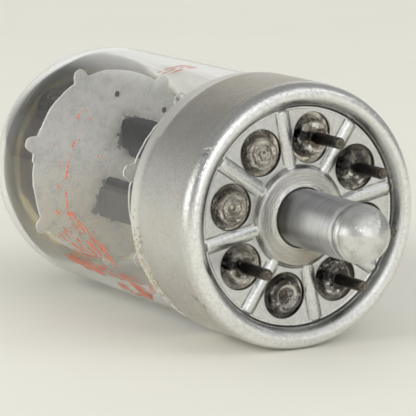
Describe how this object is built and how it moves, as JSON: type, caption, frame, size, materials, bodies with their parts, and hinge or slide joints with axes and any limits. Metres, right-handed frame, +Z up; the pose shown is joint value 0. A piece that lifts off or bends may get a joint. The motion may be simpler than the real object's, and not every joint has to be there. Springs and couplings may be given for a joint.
{
  "type": "rectifier tube",
  "caption": "Glass vacuum rectifier tube with a metal lock-in base, short contact pins and a central locating plug, lying on its side.",
  "frame": {"origin": "centre of the bounding box in X and Y, lowest line of the base shell's side in Z", "axes": "the tube lies on its side: its axis is along Y with the pins and plug towards -Y and the glass dome towards +Y; +Z is up; contact 6 is the topmost pin, turned 11.6 degrees clockwise seen from the pins"},
  "size_m": [0.0292, 0.0696, 0.0293],
  "materials": {
    "shell": "satin, scuffed and faintly browned",
    "plug": "satin plated, fine turning marks",
    "cement": "dull cream with crumbs",
    "clear_glass": "clear, glossy, dark getter film in the dome",
    "header_glass": "clear grey-brown, glossy",
    "pin": "dark bronze oxide, worn brighter at the tip",
    "mica_frosted": "frosted light grey",
    "mica_clear": "clear with a white edge",
    "plate_black": "matte carbonised",
    "plate_grey": "matte carbonised, worn grey",
    "nickel_wire": "satin",
    "nickel_strip": "satin",
    "cathode": "matte white coating",
    "heater": "matte white coating",
    "getter": "heat-darkened"
  },
  "bodies": {
    "root": {"base_shell": "shell", "locating_plug": "plug", "base_cement": "cement", "glass_bulb": "clear_glass", "glass_header": "header_glass", "pin_1": "pin", "pin_3": "pin", "pin_6": "pin", "pin_7": "pin", "pin_8": "pin", "top_mica": "mica_frosted", "bottom_mica": "mica_clear", "plate_1": "plate_black", "plate_2": "plate_grey", "plate_rod_1": "nickel_wire", "plate_rod_2": "nickel_wire", "plate_rod_3": "nickel_wire", "plate_rod_4": "nickel_wire", "cathode_sleeve_1": "cathode", "cathode_sleeve_2": "cathode", "heater_1": "heater", "heater_2": "heater", "cathode_tie": "nickel_strip", "heater_link": "nickel_strip", "lead_plate_1": "nickel_wire", "lead_plate_2": "nickel_wire", "lead_cathode": "nickel_wire", "lead_heater_a": "nickel_wire", "lead_heater_b": "nickel_wire", "getter_post": "nickel_wire", "getter_ring": "getter"}
  },
  "joints": []
}
